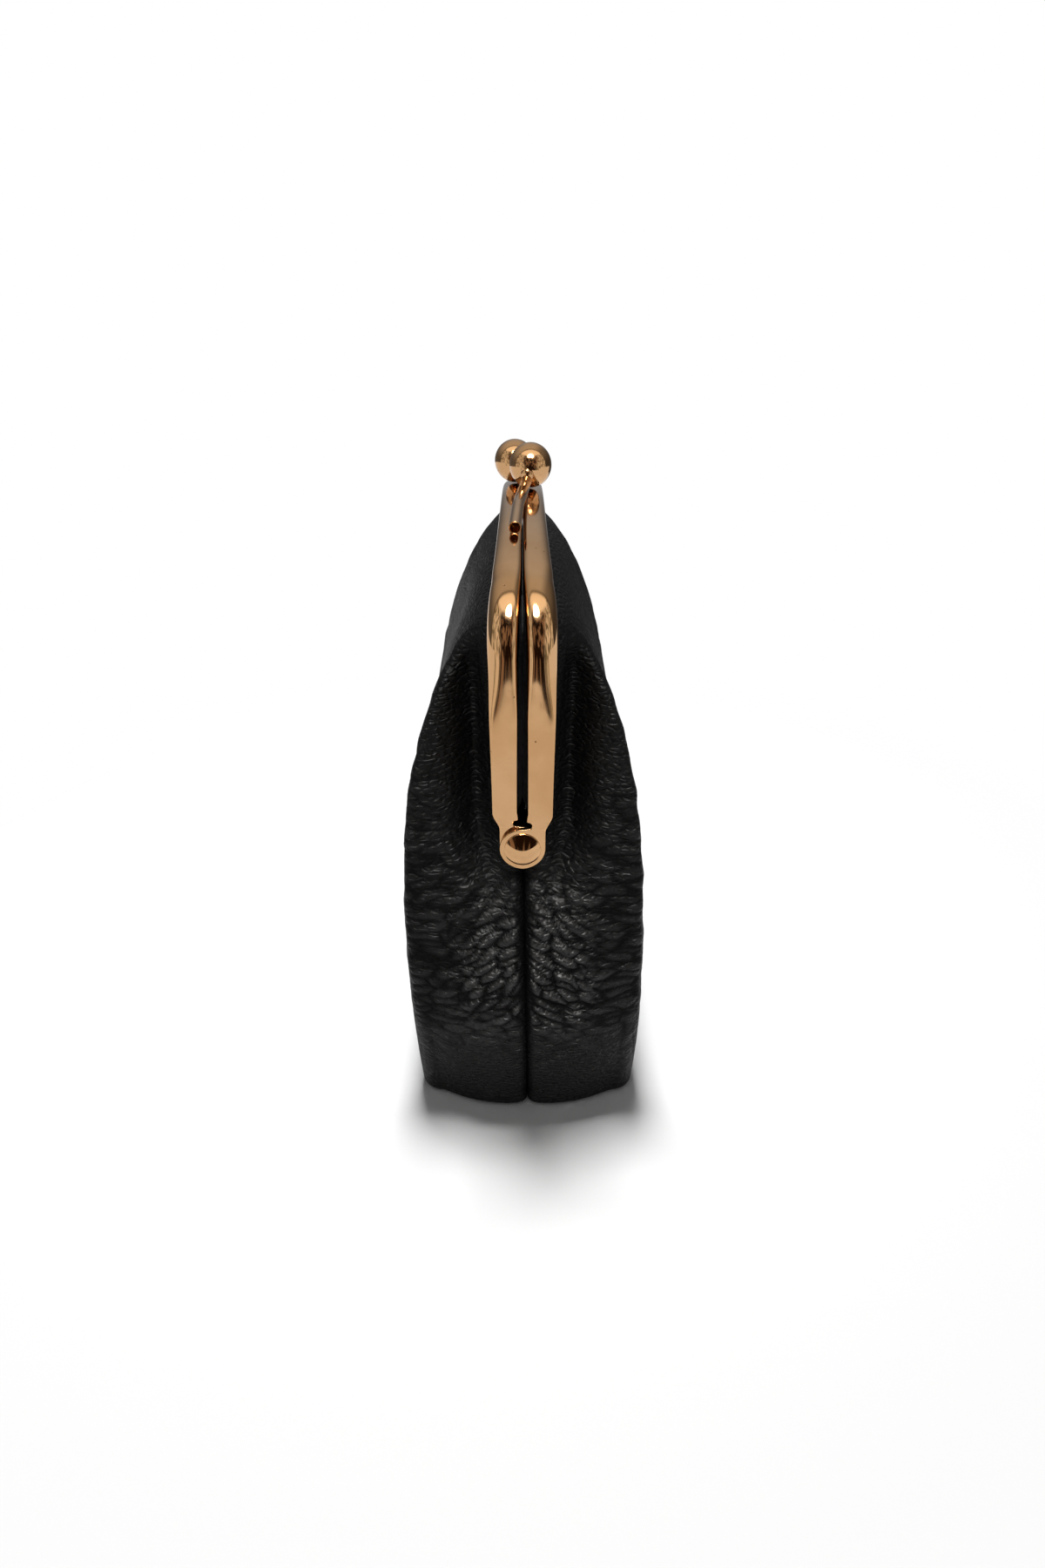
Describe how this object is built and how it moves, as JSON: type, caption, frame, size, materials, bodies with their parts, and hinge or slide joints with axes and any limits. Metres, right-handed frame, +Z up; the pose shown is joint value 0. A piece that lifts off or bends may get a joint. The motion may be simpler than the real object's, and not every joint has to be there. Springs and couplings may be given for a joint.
{
  "type": "kiss lock frame purse",
  "caption": "Boxed pebbled leather pouch in an arched hinged metal frame that snaps shut with two crossing ball knobs.",
  "frame": {"origin": "on the ground under the middle of the base", "axes": "+X along the purse to its right hinge, -Y the front panel, +Z up"},
  "size_m": [0.1262, 0.049, 0.1213],
  "materials": {
    "gold_metal": "mirror polished rose gold plate",
    "black_leather": "pebbled grain, semi-matte",
    "lining_fabric": "plain weave",
    "paper_cord": "twisted kraft paper",
    "base_board": "grey pressed board"
  },
  "bodies": {
    "pouch": {"front_leather_panel": "black_leather", "back_leather_panel": "black_leather", "front_lining_panel": "lining_fabric", "back_lining_panel": "lining_fabric", "base_board": "base_board"},
    "front_bow": {"front_frame": "gold_metal", "front_clasp_arm": "gold_metal", "front_clasp_ball": "gold_metal", "front_paper_cord": "paper_cord"},
    "back_bow": {"back_frame": "gold_metal", "back_clasp_arm": "gold_metal", "back_clasp_ball": "gold_metal", "back_paper_cord": "paper_cord", "right_hinge_rivet": "gold_metal", "left_hinge_rivet": "gold_metal"}
  },
  "joints": [
    {"name": "front_bow_hinge", "type": "hinge", "parent": "pouch", "child": "front_bow", "pos_m": [0, 0, 0.0595], "axis": [1, 0, 0], "range_deg": [0, 45], "deforming": ["front_leather_panel", "front_lining_panel"]},
    {"name": "back_bow_hinge", "type": "hinge", "parent": "pouch", "child": "back_bow", "pos_m": [0, 0, 0.0595], "axis": [-1, 0, 0], "range_deg": [0, 45], "deforming": ["back_leather_panel", "back_lining_panel"]}
  ],
  "couplings": [
    {"joint": "back_bow_hinge", "follows": "front_bow_hinge", "ratio": 1}
  ]
}
